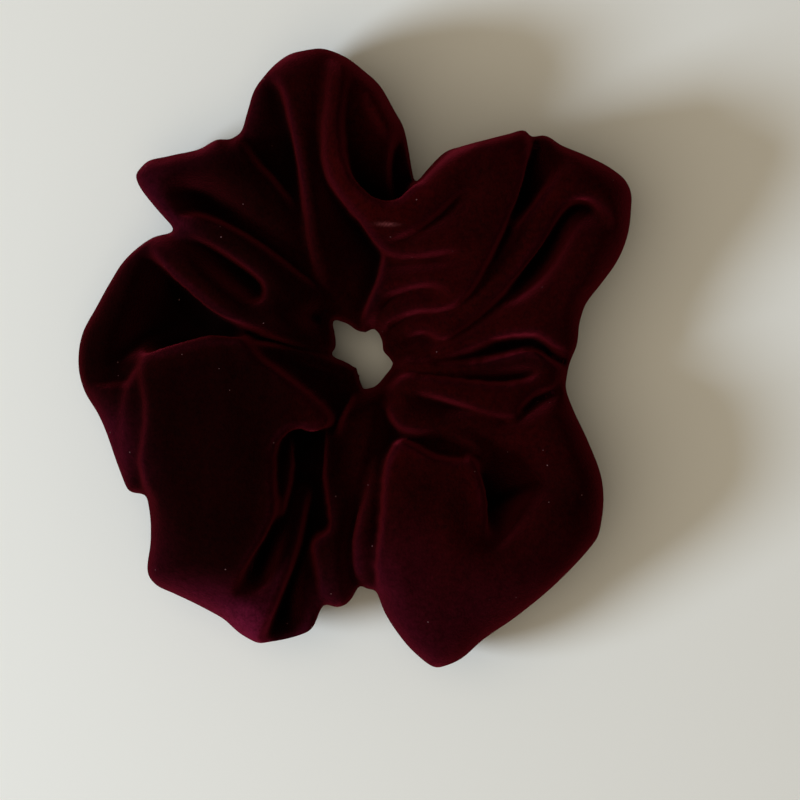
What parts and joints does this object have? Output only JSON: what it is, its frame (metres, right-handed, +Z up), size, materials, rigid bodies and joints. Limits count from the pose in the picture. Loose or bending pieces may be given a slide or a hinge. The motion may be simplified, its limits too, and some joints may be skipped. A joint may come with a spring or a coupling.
{
  "type": "scrunchie",
  "caption": "Oversized velvet hair scrunchie: a gathered fabric tube in deep soft lobes round a loop of braided elastic, which stretches open.",
  "frame": {"origin": "on the axis of the hair opening, in the plane that the ring lies on", "axes": "+Z up along the axis of the opening; +Y along the longest width of the ring; +X the way that the right half is pulled"},
  "size_m": [0.1341, 0.1475, 0.0437],
  "materials": {
    "velvet": "deep burgundy velvet pile with a strong crimson and violet sheen at grazing angles",
    "braided_elastic": "flat black braided elastic, ribbed",
    "thread": "burgundy polyester sewing thread, slight lustre"
  },
  "bodies": {
    "left_half": {"cover_left_half": "velvet", "elastic_band": "braided_elastic", "elastic_join_stitches": "thread", "long_seam_stitches_left": "thread", "closing_slip_stitches": "thread"},
    "right_half": {"cover_right_half": "velvet", "long_seam_stitches_right": "thread", "end_seam_stitches": "thread"}
  },
  "joints": [
    {"name": "stretch", "type": "slide", "parent": "left_half", "child": "right_half", "axis": [1, 0, 0], "range_m": [0, 0.1], "stiffness_N_per_m": 100, "deforming": ["elastic_band"]}
  ]
}
